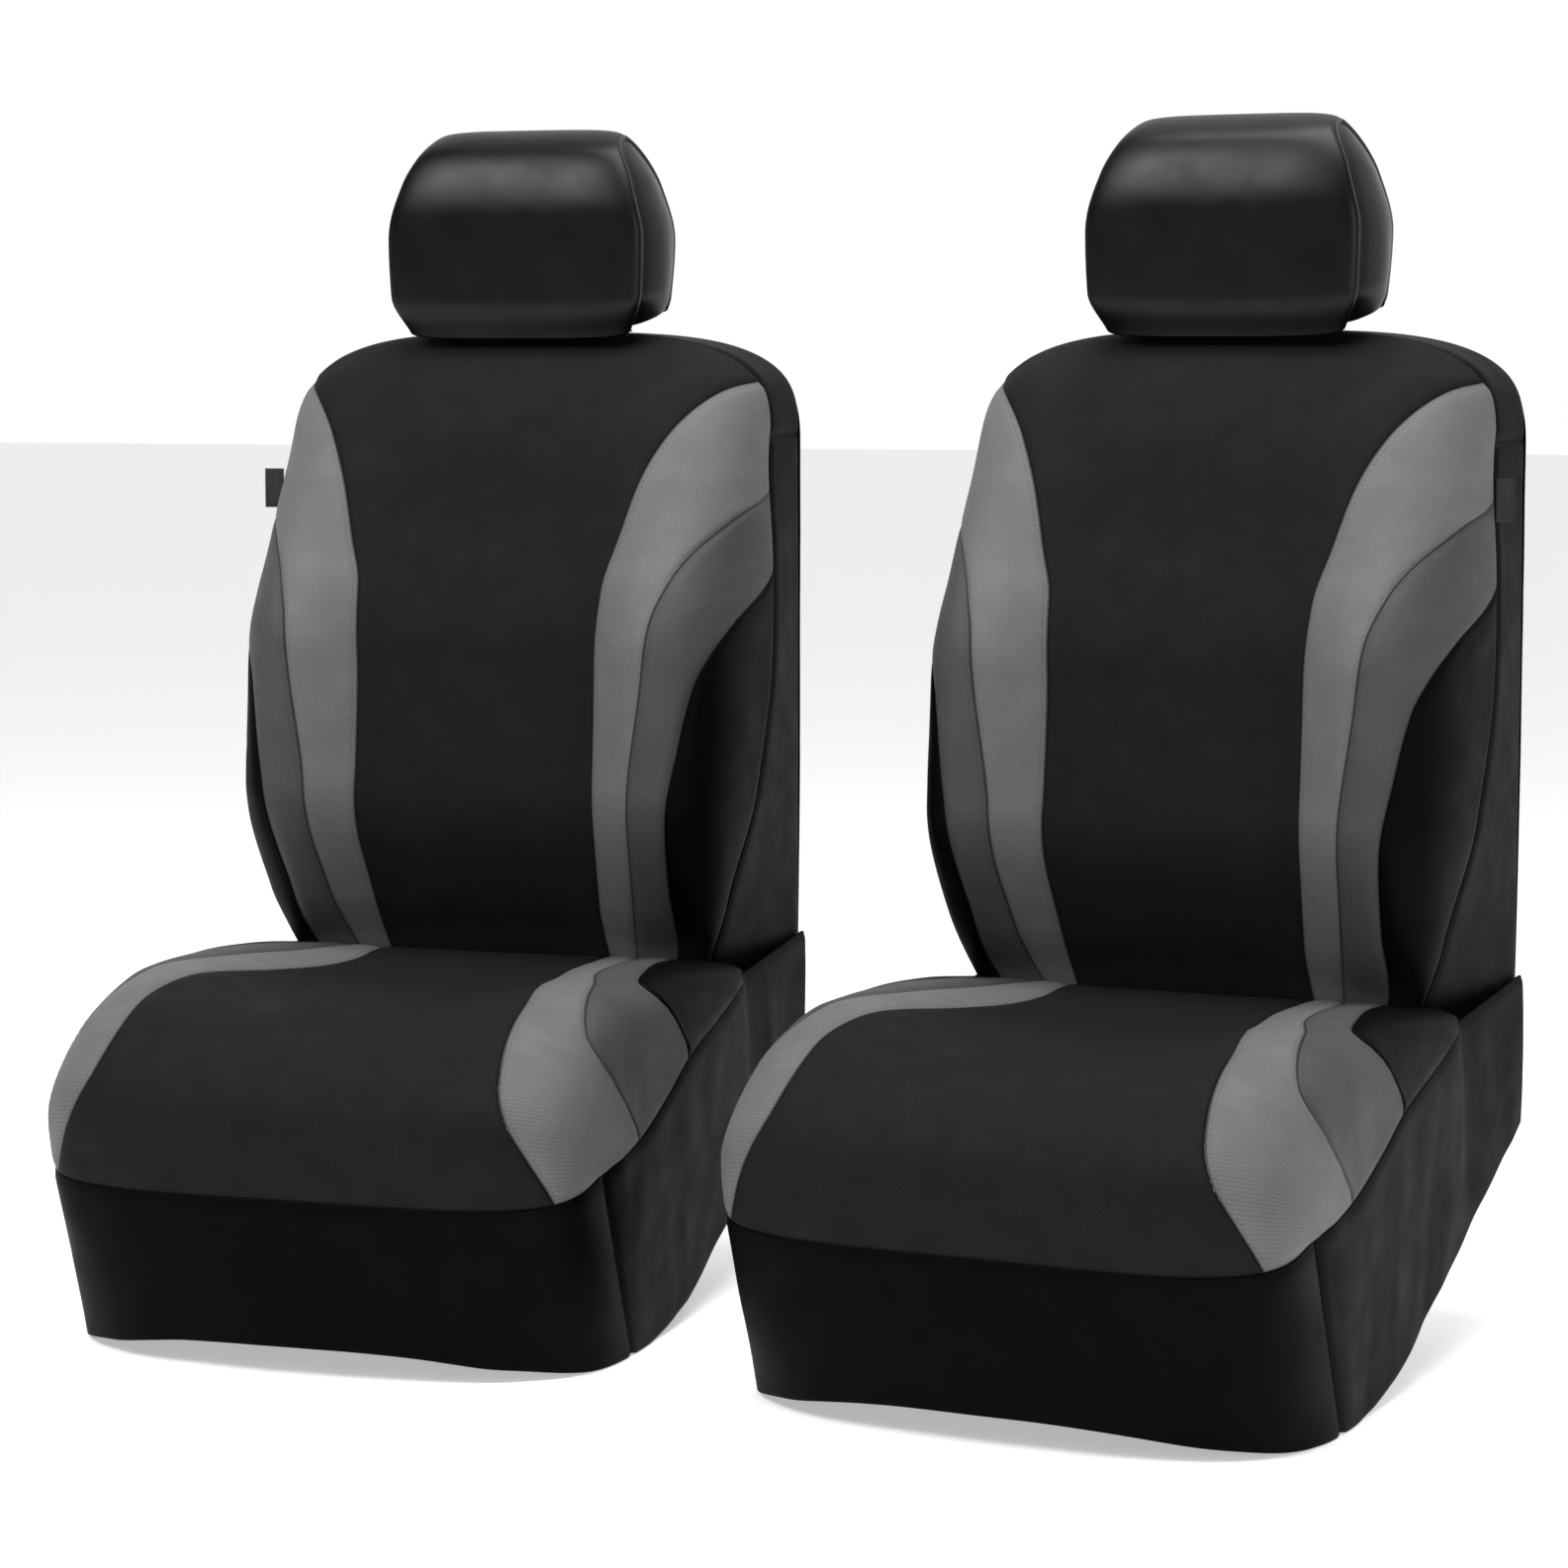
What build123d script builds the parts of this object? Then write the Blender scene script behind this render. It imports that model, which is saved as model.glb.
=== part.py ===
from build123d import *
import os
from math import cos, copysign, hypot, pi, radians, sin

# A pair of fitted front seat covers, each a back cover, a base cover and a headrest cover.
# Millimetres and degrees. Every panel is worked out in a seat frame: x to the viewer's right
# across the seat, y back from the front skirt, z up from the lowest hem. Each seat is then
# turned about its own vertical line and set beside the other.

# ---- layout of the pair ----
SEAT_SPACING = 689.0   # between the two seats' turning lines
TOE_IN = 4.0           # each seat turns its front towards the middle by this much
TURN_Y = 300.0         # the turning line's distance behind the front skirt
ORIGIN_Y = 340.82      # where the pair's middle lies, behind the front skirts

# ---- cloth ----
CLOTH = 3.0            # foam-backed knit
SEAM = 0.0015          # half the gap at a seam, as a share of the half width
EDGE_GAP = 1.0         # gap in millimetres where a band or skirt meets a panel
SIDE_GAP = 5.0         # gap in millimetres behind the back's side seam
BAND_START_Y = 595.0   # front edge of the band over the top of the back

# Rows of facets along the back and along the cushion top, as places from 0 to 1.
ROWS = [0, 0.06, 0.12, 0.2, 0.28, 0.36, 0.44, 0.52, 0.58, 0.64, 0.7, 0.75, 0.8, 0.85, 0.9, 0.95, 1]

# ---- seat back: stations are (place from the base to the top seam, value) ----
BACK_CREST_Y = [(0, 490), (0.12, 425), (0.3, 372), (0.5, 372), (0.7, 430), (0.85, 486), (0.93, 528), (1, 590)]
BACK_CREST_Z = [(0, 303), (0.12, 375), (0.3, 485), (0.5, 615), (0.7, 745), (0.85, 847), (0.93, 897), (1, 926)]
BACK_SEAM_X = [(0, 218), (0.12, 240), (0.3, 256), (0.5, 258), (0.7, 255), (0.85, 251), (1, 250)]
BACK_SEAM_Y = [(0, 500), (0.12, 498), (0.3, 540), (0.5, 580), (0.7, 590), (0.85, 590), (1, 592)]
BACK_SEAM_Z = [(0, 308), (0.12, 375), (0.3, 480), (0.5, 600), (0.7, 715), (0.85, 783), (1, 823)]
BACK_SQUARENESS = [(0, 3.0), (0.15, 3.4), (0.3, 4.0), (0.5, 4.0), (0.7, 3.4), (0.85, 3.0), (1, 3.2)]
BACK_HOLLOW = [(0, 18), (0.12, 42), (0.3, 70), (0.5, 80), (0.7, 50), (0.85, 18), (1, 0)]
BACK_REAR_X = 250.0
BACK_REAR_Y = 684.0
BACK_REAR_HEM_Z = 215.0
SIDE_REAR_Z = [(0, 275), (0.3, 470), (1, 823)]

# Stripe edges on the back, as shares of the half width; 1 is the side seam.
BACK_LIGHT_EDGE = [(0, 0.33), (0.11, 0.305), (0.21, 0.3), (0.33, 0.292), (0.47, 0.29), (0.6, 0.3),
                   (0.67, 0.33), (0.75, 0.37), (0.84, 0.45), (0.94, 0.59), (1, 0.68)]
BACK_DARK_EDGE = [(0, 0.414), (0.17, 0.4), (0.29, 0.39), (0.46, 0.418), (0.55, 0.435), (0.62, 0.48),
                  (0.66, 0.53), (0.725, 0.68), (0.79, 0.93), (0.82, 1), (1, 1)]
BACK_BLACK_EDGE = [(0, 0.565), (0.04, 0.56), (0.14, 0.515), (0.27, 0.49), (0.37, 0.515), (0.46, 0.55),
                   (0.51, 0.6), (0.564, 0.7), (0.64, 0.96), (0.66, 1), (1, 1)]
BACK_SIDE_EDGE = [(0, 0.97), (0.12, 0.985), (0.28, 1), (1, 1)]
BACK_DARK_TIP = 0.8
BACK_BLACK_TIP = 0.64

# ---- cushion top: stations run from the junction with the back to the front seam ----
TOP_CREST_Y = [(0, 470), (0.2, 385), (0.4, 280), (0.6, 165), (0.72, 88), (0.82, 24), (0.9, -14), (1, 0)]
TOP_CREST_Z = [(0, 322), (0.2, 334), (0.4, 343), (0.6, 345), (0.72, 330), (0.82, 291), (0.9, 233), (1, 155)]
TOP_SEAM_X = [(0, 250), (0.1, 258), (0.4, 264), (0.7, 267), (0.9, 268), (1, 262)]
TOP_SEAM_Y = [(0, 512), (0.2, 462), (0.4, 395), (0.58, 322), (0.7, 252), (0.8, 185), (1, 100)]
TOP_SEAM_Z = [(0, 303), (0.2, 289), (0.4, 272), (0.58, 253), (0.7, 222), (0.8, 197), (1, 179)]
TOP_SQUARENESS = [(0, 4.5), (0.7, 4.5), (1, 4)]
TOP_HOLLOW = [(0, 4), (0.2, 20), (0.4, 32), (0.6, 30), (0.8, 10), (1, 0)]
TOP_LIGHT_EDGE = [(0, 0.285), (0.2, 0.265), (0.45, 0.31), (0.6, 0.365), (0.7, 0.395), (0.8, 0.41),
                  (0.85, 0.425), (0.89, 0.455), (0.94, 0.51), (1, 0.59)]
TOP_DARK_EDGE = [(0, 0.36), (0.2, 0.37), (0.45, 0.42), (0.57, 0.47), (0.67, 0.505), (0.74, 0.555),
                 (0.77, 0.65), (0.8, 0.94), (0.81, 1), (1, 1)]
TOP_BLACK_EDGE = [(0, 0.44), (0.2, 0.46), (0.38, 0.5), (0.48, 0.53), (0.52, 0.59), (0.56, 0.82),
                  (0.58, 0.95), (0.6, 1), (1, 1)]
TOP_DARK_TIP = 0.8
TOP_BLACK_TIP = 0.58

# ---- skirt ----
HEM_X = 262.0
HEM_CORNER_Y = 170.0
HEM_SQUARENESS = 2.6
HEM_Z = [(0, 25), (33, 11), (112, 0), (211, 0), (311, 17), (411, 60), (684, 185)]
SKIRT_REAR_X = 256.0
SKIRT_REAR_Y = 683.0
SKIRT_REAR_Z = 325.0
SKIRT_REAR_SHARE = 0.3    # share of the side skirt's length behind the cushion's seam

# ---- headrest cover: stations run from the front hem over the top to the back hem ----
HEAD_Y = [(0, 548), (0.12, 532), (0.3, 530), (0.44, 550), (0.55, 596), (0.66, 636), (0.8, 650), (1, 640)]
HEAD_Z = [(0, 918), (0.12, 955), (0.3, 1035), (0.44, 1102), (0.55, 1125), (0.66, 1100), (0.8, 1025), (1, 942)]
HEAD_HALF_WIDTH = [(918, 118), (955, 133), (1015, 135), (1075, 122), (1110, 106), (1125, 98)]
HEAD_CENTRE_Y = 590.0
HEAD_CENTRE_Z = 1025.0
HEAD_FRONT_END = 0.56     # where the front panel gives way to the back panel, at the top
HEAD_FRONT_ROWS = [0, 0.08, 0.16, 0.25, 0.34, 0.42, 0.49, 0.557]
HEAD_BACK_ROWS = [0.563, 0.62, 0.69, 0.76, 0.84, 0.92, 1]
HEAD_SIDE_CROWN = 12.0    # how far a side panel bulges past the seam

# ---- small pieces ----
POST_X = 72.0
POST_Y = 632.0
POST_R = 10.0
EYELET_WALL = 2.0
EYELET_FLANGE_R = 17.0
EYELET_LOW_Z = 920.0
EYELET_FLANGE_Z = 926.0
EYELET_TOP_Z = 928.0
EYELET_PLAY = 0.2
EYELET_CUT = 60.0
TAG_HEIGHT = 39.0
TAG_WIDTH = 20.0
TAG_THICKNESS = 1.6
TAG_Z = 770.0
# Share of the half width, place up the back, angle that it leans back and gap to the cloth.
TAGS = {"driver": (1, 0.82, 50, 2.0), "passenger": (0.73, 0.775, 0, 5.0)}
FLAP_HALF_WIDTH = 185.0
FLAP_TOP = (496.0, 292.0)
FLAP_LOW = (556.0, 200.0)
STRAP_X = 120.0
STRAP_WIDTH = 25.0
STRAP_THICKNESS = 2.0
STRAP_ROUTE = [(14.0, 60.0), (90.0, 130.0), (300.0, 148.0), (505.0, 160.0)]
HOOK_R = 6.0
HOOK_WIRE_R = 1.5
HOOK_REACH = 28.0         # between the centres of a hook's two bends
HOOK_Y = 514.0
HOOK_Z = 168.0
HOOK_TILT = 0.0


# ---- shape helpers ----
def smooth(place, stations):
    """The value at a place on a smooth curve through the stations, without overshoot."""
    last = len(stations) - 2
    i = max([k for k in range(last + 1) if stations[k][0] <= place] or [0])

    def rise(k):
        return (stations[k + 1][1] - stations[k][1]) / (stations[k + 1][0] - stations[k][0])

    def slope(k):
        if k == 0:
            return rise(0)
        if k == last + 1:
            return rise(last)
        before, after = rise(k - 1), rise(k)
        return 0.0 if before * after <= 0 else 2 * before * after / (before + after)

    (x0, y0), (x1, y1) = stations[i], stations[i + 1]
    span = x1 - x0
    s = (place - x0) / span
    return ((2 * s ** 3 - 3 * s ** 2 + 1) * y0 + (s ** 3 - 2 * s ** 2 + s) * span * slope(i)
            + (3 * s ** 2 - 2 * s ** 3) * y1 + (s ** 3 - s ** 2) * span * slope(i + 1))


def squircle(u, n):
    """Across (-1 to 1) and drop (0 to 1) round a squarish curve of exponent n."""
    angle = abs(u) * pi / 2
    reach = (sin(angle) ** n + cos(angle) ** n) ** (1 / n)
    return copysign(sin(angle) / reach, u), 1 - cos(angle) / reach


def hollow(across):
    """1 in the middle of a seat, fading to 0 towards its bolsters."""
    t = min(1.0, max(0.0, (0.88 - abs(across)) / 0.6))
    return t * t * (3 - 2 * t)


def back_point(u, v):
    across, drop = squircle(u, smooth(v, BACK_SQUARENESS))
    crest_y, crest_z = smooth(v, BACK_CREST_Y), smooth(v, BACK_CREST_Z)
    y = crest_y + (smooth(v, BACK_SEAM_Y) - crest_y) * drop + smooth(v, BACK_HOLLOW) * hollow(across)
    z = crest_z + (smooth(v, BACK_SEAM_Z) - crest_z) * drop
    return Vector(smooth(v, BACK_SEAM_X) * across, y, z)


def cushion_point(u, v):
    across, drop = squircle(u, smooth(v, TOP_SQUARENESS))
    crest_y, crest_z = smooth(v, TOP_CREST_Y), smooth(v, TOP_CREST_Z)
    sink = smooth(v, TOP_HOLLOW) * hollow(across)
    y = crest_y + (smooth(v, TOP_SEAM_Y) - crest_y) * drop + sink
    z = crest_z + (smooth(v, TOP_SEAM_Z) - crest_z) * drop - sink
    return Vector(smooth(v, TOP_SEAM_X) * across, y, z)


def head_point(u, v):
    y, z = smooth(v, HEAD_Y), smooth(v, HEAD_Z)
    across, drop = squircle(u, 4)
    return Vector(smooth(z, HEAD_HALF_WIDTH) * across, y + (HEAD_CENTRE_Y - y) * 0.3 * drop,
                  z + (HEAD_CENTRE_Z - z) * 0.12 * drop)


def hem_point(u):
    """The front skirt's hem, from its left corner (-1) to its right (1)."""
    across, drop = squircle(u, HEM_SQUARENESS)
    y = HEM_CORNER_Y * drop
    return Vector(HEM_X * across, y, smooth(y, HEM_Z))


def faceted(outer, inner):
    """A closed solid of flat triangles between two matching grids of points."""
    rows, columns = len(outer), len(outer[0])
    faces = []

    def quad(a, b, c, d):
        for corners in ((a, b, c), (a, c, d)):
            faces.append(Face(Wire.make_polygon(corners)))
    for j in range(rows - 1):
        for i in range(columns - 1):
            quad(outer[j][i], outer[j][i + 1], outer[j + 1][i + 1], outer[j + 1][i])
            quad(inner[j][i], inner[j + 1][i], inner[j + 1][i + 1], inner[j][i + 1])
    for j in range(rows - 1):
        for i in (0, columns - 1):
            quad(outer[j][i], outer[j + 1][i], inner[j + 1][i], inner[j][i])
    for i in range(columns - 1):
        for j in (0, rows - 1):
            quad(outer[j][i], outer[j][i + 1], inner[j][i + 1], inner[j][i])
    return Solid(Shell(faces))


def normal(point, u, v, low, high):
    """Unit normal of point(u, v) by small steps kept between the low and high corners."""
    step = 1e-3
    across = point(min(high[0], u + step), v) - point(max(low[0], u - step), v)
    along = point(u, min(high[1], v + step)) - point(u, max(low[1], v - step))
    return across.cross(along).normalized()


def skin(point, left, right, places, columns, inward, low=(-1, 0), high=(1, 1)):
    """A cloth panel over point(u, v): u from left(v) to right(v), one row of facets per place v."""
    outer, inner = [], []
    for v in places:
        start, end = left(v), right(v)
        shares = [start + (end - start) * i / columns for i in range(columns + 1)]
        outer.append([point(u, v) for u in shares])
        inner.append([point(u, v) + normal(point, u, v, low, high) * inward * CLOTH for u in shares])
    return faceted(outer, inner)


def rows_up_to(tip):
    return [v for v in ROWS if v <= tip]


def strip(route, x, width, thickness):
    """A flat band of cloth that follows route, a list of (y, z), with its middle at x."""
    upper, lower = [], []
    for k, (y, z) in enumerate(route):
        y0, z0 = route[max(0, k - 1)]
        y1, z1 = route[min(len(route) - 1, k + 1)]
        run = hypot(y1 - y0, z1 - z0)
        off_y, off_z = -(z1 - z0) / run * thickness / 2, (y1 - y0) / run * thickness / 2
        upper.append((x - width / 2, y + off_y, z + off_z))
        lower.append((x - width / 2, y - off_y, z - off_z))
    outline = Wire.make_polygon([Vector(*p) for p in upper + lower[::-1]])
    return extrude(Face(outline), width, Vector(1, 0, 0))


# ---- back cover ----
def centre_panel(point, edge, inward):
    return skin(point, lambda v: SEAM - smooth(v, edge), lambda v: smooth(v, edge) - SEAM, ROWS, 8, inward)


def stripe(point, side, inner, outer, tip, inward):
    """A panel on one side, from the inner edge's stations to the outer edge's, up to its tip."""
    def near(v):
        return side * (smooth(v, inner) + SEAM)

    def far(v):
        return side * (smooth(v, outer) - SEAM)
    left, right = (near, far) if side > 0 else (far, near)
    return skin(point, left, right, rows_up_to(tip), 4, inward)


def back_side(side):
    """The flat boxing between the front panels' side seam and the rear edge."""
    def point(u, v):
        seam = back_point(side, v) + Vector(0, SIDE_GAP, 0)
        rear = Vector(side * BACK_REAR_X, BACK_REAR_Y, smooth(v, SIDE_REAR_Z))
        return seam + (rear - seam) * u
    return skin(point, lambda v: 0, lambda v: 1, ROWS[:-1] + [1 - SEAM], 3, -side, low=(0, 0))


def band_point(u, v):
    """Round the top of the back, shoulder to shoulder with u, and back with v."""
    seam = back_point(u, 1)
    return Vector(seam.X, BAND_START_Y + (BACK_REAR_Y - BAND_START_Y) * v, seam.Z)


def top_band():
    band = skin(band_point, lambda v: -1, lambda v: 1, [0, 1], 24, -1)
    for x in (-POST_X, POST_X):
        band = band - Pos(x, POST_Y, EYELET_TOP_Z) * Cylinder(POST_R + EYELET_WALL + EYELET_PLAY, EYELET_CUT)
    return band.solid()


def rear_panel():
    inset = CLOTH + EDGE_GAP
    corners = [Vector(BACK_REAR_X - inset, BACK_REAR_Y, BACK_REAR_HEM_Z),
               Vector(inset - BACK_REAR_X, BACK_REAR_Y, BACK_REAR_HEM_Z)]
    for k in range(-12, 13):
        outline = band_point(k / 12, 1) + normal(band_point, k / 12, 1, (-1, 0), (1, 1)) * -inset
        corners.append(Vector(outline.X, BACK_REAR_Y, outline.Z))
    return extrude(Face(Wire.make_polygon(corners)), CLOTH, Vector(0, -1, 0))


def post_eyelets():
    rings = []
    for x in (-POST_X, POST_X):
        sleeve = Pos(x, POST_Y, (EYELET_LOW_Z + EYELET_TOP_Z) / 2) * Cylinder(
            POST_R + EYELET_WALL, EYELET_TOP_Z - EYELET_LOW_Z)
        flange = Pos(x, POST_Y, (EYELET_FLANGE_Z + EYELET_TOP_Z) / 2) * Cylinder(
            EYELET_FLANGE_R, EYELET_TOP_Z - EYELET_FLANGE_Z)
        bore = Pos(x, POST_Y, EYELET_TOP_Z) * Cylinder(POST_R, EYELET_CUT)
        rings.append((sleeve + flange - bore).solid())
    return Compound(rings)


def side_label(seat, side):
    """A folded woven label, sewn into the outer edge of the back."""
    share, place, angle, standoff = TAGS[seat]
    seam = back_point(side * share, place)
    label = Pos(TAG_WIDTH / 2, 0, 0) * Box(TAG_WIDTH, TAG_THICKNESS, TAG_HEIGHT)
    turn = angle if side > 0 else 180 - angle
    return Pos(seam.X + side * standoff, seam.Y, TAG_Z) * Rot(0, 0, turn) * label


# ---- base cover ----
def skirt_front():
    def point(u, w):
        seam = cushion_point(u, 1) - Vector(0, 0, EDGE_GAP)
        return seam + (hem_point(u) - seam) * w
    return skin(point, lambda w: SEAM - 1, lambda w: 1 - SEAM, [0, 0.33, 0.67, 1], 24, 1)


def skirt_side(side):
    """From the rear edge forward to the front corner; u runs down, v runs forward."""
    rear = Vector(side * SKIRT_REAR_X, SKIRT_REAR_Y, SKIRT_REAR_Z)

    def seam_point(v):
        if v > SKIRT_REAR_SHARE:
            return cushion_point(side, (v - SKIRT_REAR_SHARE) / (1 - SKIRT_REAR_SHARE))
        return rear + (cushion_point(side, 0) - rear) * v / SKIRT_REAR_SHARE

    def point(u, v):
        seam = seam_point(v) - Vector(0, 0, EDGE_GAP)
        y = SKIRT_REAR_Y + (HEM_CORNER_Y - SKIRT_REAR_Y) * v
        hem = Vector(side * (SKIRT_REAR_X + (HEM_X - SKIRT_REAR_X) * v), y, smooth(y, HEM_Z))
        return seam + (hem - seam) * u
    places = [0, SKIRT_REAR_SHARE / 2]
    places += [SKIRT_REAR_SHARE + (1 - SKIRT_REAR_SHARE) * v for v in ROWS[:-1] + [1 - SEAM]]
    return skin(point, lambda v: 0, lambda v: 1, places, 3, -side, low=(0, 0))


def tuck_flap():
    return strip([FLAP_TOP, FLAP_LOW], 0, 2 * FLAP_HALF_WIDTH, CLOTH)


def under_straps():
    return Compound([strip(STRAP_ROUTE, x, STRAP_WIDTH, STRAP_THICKNESS).solid() for x in (-STRAP_X, STRAP_X)])


def strap_hooks():
    """Two S-shaped wire hooks between the straps' ends and the tuck flap's low edge."""
    hooks = []
    for x in (-STRAP_X, STRAP_X):
        near_bend = CenterArc((0, HOOK_R), HOOK_R, 180, 90)
        far_bend = CenterArc((HOOK_REACH, -HOOK_R), HOOK_R, 90, -90)
        shank = Line(near_bend @ 1, far_bend @ 0)
        path = Wire([near_bend.edge(), shank.edge(), far_bend.edge()])
        mouth = Plane(near_bend @ 0, z_dir=near_bend % 0)
        hook = sweep(mouth * Circle(HOOK_WIRE_R), path)
        hooks.append((Pos(x, HOOK_Y, HOOK_Z) * Rot(HOOK_TILT, 0, 90) * hook).solid())
    return Compound(hooks)


# ---- headrest cover ----
def head_panel(places):
    return skin(head_point, lambda v: SEAM - 1, lambda v: 1 - SEAM, places, 16, -1)


def head_side(side):
    """The crowned side between the front and back panels' seams; u runs back, v runs up."""
    def point(u, v):
        front = head_point(side, v * HEAD_FRONT_END)
        rear = head_point(side, 1 - v * (1 - HEAD_FRONT_END))
        crown = HEAD_SIDE_CROWN * sin(pi * u) * (1 - v ** 4)
        across = rear - front
        inset = 2 * EDGE_GAP / max(across.length, 5 * EDGE_GAP)
        return front + across * (inset + (1 - 2 * inset) * u) + Vector(side * crown, 0, 0)
    places = [v / HEAD_FRONT_END for v in HEAD_FRONT_ROWS[:-1]]
    return skin(point, lambda v: 0, lambda v: 1, places, 6, -side, low=(0, 0))


# ---- the pair ----
def seat_pieces():
    """Every piece of one seat's covers but its label, by name, in the seat frame."""
    seam = [(0, 1), (1, 1)]
    pieces = {
        "back_centre_panel": centre_panel(back_point, BACK_LIGHT_EDGE, -1),
        "back_rear_panel": rear_panel(),
        "back_top_band": top_band(),
        "back_post_eyelets": post_eyelets(),
        "base_centre_panel": centre_panel(cushion_point, TOP_LIGHT_EDGE, 1),
        "base_skirt_front": skirt_front(),
        "base_tuck_flap": tuck_flap(),
        "base_under_straps": under_straps(),
        "base_strap_hooks": strap_hooks(),
        "headrest_front_panel": head_panel(HEAD_FRONT_ROWS),
        "headrest_back_panel": head_panel(HEAD_BACK_ROWS),
    }
    for side, word in ((-1, "left"), (1, "right")):
        for name, inner, outer, tip in (
                ("back_light_stripe_", BACK_LIGHT_EDGE, BACK_DARK_EDGE, 1),
                ("back_dark_stripe_", BACK_DARK_EDGE, BACK_BLACK_EDGE, BACK_DARK_TIP),
                ("back_bolster_", BACK_BLACK_EDGE, BACK_SIDE_EDGE, BACK_BLACK_TIP)):
            pieces[name + word] = stripe(back_point, side, inner, outer, tip, -1)
        for name, inner, outer, tip in (
                ("base_light_stripe_", TOP_LIGHT_EDGE, TOP_DARK_EDGE, 1),
                ("base_dark_stripe_", TOP_DARK_EDGE, TOP_BLACK_EDGE, TOP_DARK_TIP),
                ("base_corner_insert_", TOP_BLACK_EDGE, seam, TOP_BLACK_TIP)):
            pieces[name + word] = stripe(cushion_point, side, inner, outer, tip, 1)
        pieces["back_side_" + word] = back_side(side)
        pieces["base_skirt_" + word] = skirt_side(side)
        pieces["headrest_side_" + word] = head_side(side)
    return pieces


def seat_place(side):
    """Where a seat stands in the pair: side is 1 for the driver's seat, -1 for the passenger's."""
    return Pos(side * SEAT_SPACING / 2, TURN_Y - ORIGIN_Y, 0) * Rot(0, 0, -side * TOE_IN) * Pos(0, -TURN_Y, 0)


os.makedirs("parts", exist_ok=True)
shared_pieces = seat_pieces()
for seat, side in (("driver", 1), ("passenger", -1)):
    pieces = dict(shared_pieces, back_side_label=side_label(seat, side))
    for name, piece in pieces.items():
        export_step(seat_place(side) * piece, "parts/" + seat + "_" + name + ".step")
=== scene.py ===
"""The looks of a pair of seat cover sets, in metres: +X towards the driver's seat, +Y back, +Z up."""
import math

import bpy
import numpy as np
from mathutils import Matrix, Vector, noise


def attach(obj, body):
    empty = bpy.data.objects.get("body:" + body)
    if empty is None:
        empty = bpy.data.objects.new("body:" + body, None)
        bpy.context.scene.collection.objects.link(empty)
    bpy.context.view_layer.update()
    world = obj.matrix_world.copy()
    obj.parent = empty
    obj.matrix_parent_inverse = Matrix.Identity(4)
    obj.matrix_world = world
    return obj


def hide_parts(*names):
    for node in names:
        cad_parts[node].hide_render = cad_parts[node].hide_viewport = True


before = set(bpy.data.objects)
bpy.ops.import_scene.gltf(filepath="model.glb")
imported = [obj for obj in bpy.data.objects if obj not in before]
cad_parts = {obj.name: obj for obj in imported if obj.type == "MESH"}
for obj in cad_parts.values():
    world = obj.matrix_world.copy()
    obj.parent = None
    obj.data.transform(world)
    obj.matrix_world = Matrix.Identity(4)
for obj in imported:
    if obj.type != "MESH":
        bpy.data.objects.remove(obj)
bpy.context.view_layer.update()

# ---- the pair ----
SEAT_SPACING = 0.689
TOE_IN = math.radians(4)
TURN_Y = 0.3
ORIGIN_Y = 0.34082

# ---- seat back: stations are (place from the base to the top seam, value) ----
BACK_CREST_Y = [(0, 0.49), (0.12, 0.425), (0.3, 0.372), (0.5, 0.372), (0.7, 0.43), (0.85, 0.486),
                (0.93, 0.528), (1, 0.59)]
BACK_CREST_Z = [(0, 0.303), (0.12, 0.375), (0.3, 0.485), (0.5, 0.615), (0.7, 0.745), (0.85, 0.847),
                (0.93, 0.897), (1, 0.926)]
BACK_SEAM_X = [(0, 0.218), (0.12, 0.24), (0.3, 0.256), (0.5, 0.258), (0.7, 0.255), (0.85, 0.251),
               (1, 0.25)]
BACK_SEAM_Y = [(0, 0.5), (0.12, 0.498), (0.3, 0.54), (0.5, 0.58), (0.7, 0.59), (0.85, 0.59), (1, 0.592)]
BACK_SEAM_Z = [(0, 0.308), (0.12, 0.375), (0.3, 0.48), (0.5, 0.6), (0.7, 0.715), (0.85, 0.783),
               (1, 0.823)]
BACK_SQUARENESS = [(0, 3), (0.15, 3.4), (0.3, 4), (0.5, 4), (0.7, 3.4), (0.85, 3), (1, 3.2)]
BACK_HOLLOW = [(0, 0.018), (0.12, 0.042), (0.3, 0.07), (0.5, 0.08), (0.7, 0.05), (0.85, 0.018), (1, 0)]
SIDE_REAR_Z = [(0, 0.275), (0.3, 0.47), (1, 0.823)]
BACK_REAR_X = 0.25
BACK_REAR_Y = 0.684
BACK_REAR_HEM_Z = 0.215

# Stripe edges on the back, as shares of the half width; 1 is the side seam.
BACK_LIGHT_EDGE = [(0, 0.33), (0.11, 0.305), (0.21, 0.3), (0.33, 0.292), (0.47, 0.29), (0.6, 0.3),
                   (0.67, 0.33), (0.75, 0.37), (0.84, 0.45), (0.94, 0.59), (1, 0.68)]
BACK_DARK_EDGE = [(0, 0.414), (0.17, 0.4), (0.29, 0.39), (0.46, 0.418), (0.55, 0.435), (0.62, 0.48),
                  (0.66, 0.53), (0.725, 0.68), (0.79, 0.93), (0.82, 1), (1, 1)]
BACK_BLACK_EDGE = [(0, 0.565), (0.04, 0.56), (0.14, 0.515), (0.27, 0.49), (0.37, 0.515), (0.46, 0.55),
                   (0.51, 0.6), (0.564, 0.7), (0.64, 0.96), (0.66, 1), (1, 1)]
BACK_DARK_TIP = 0.82
BACK_BLACK_TIP = 0.66

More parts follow.
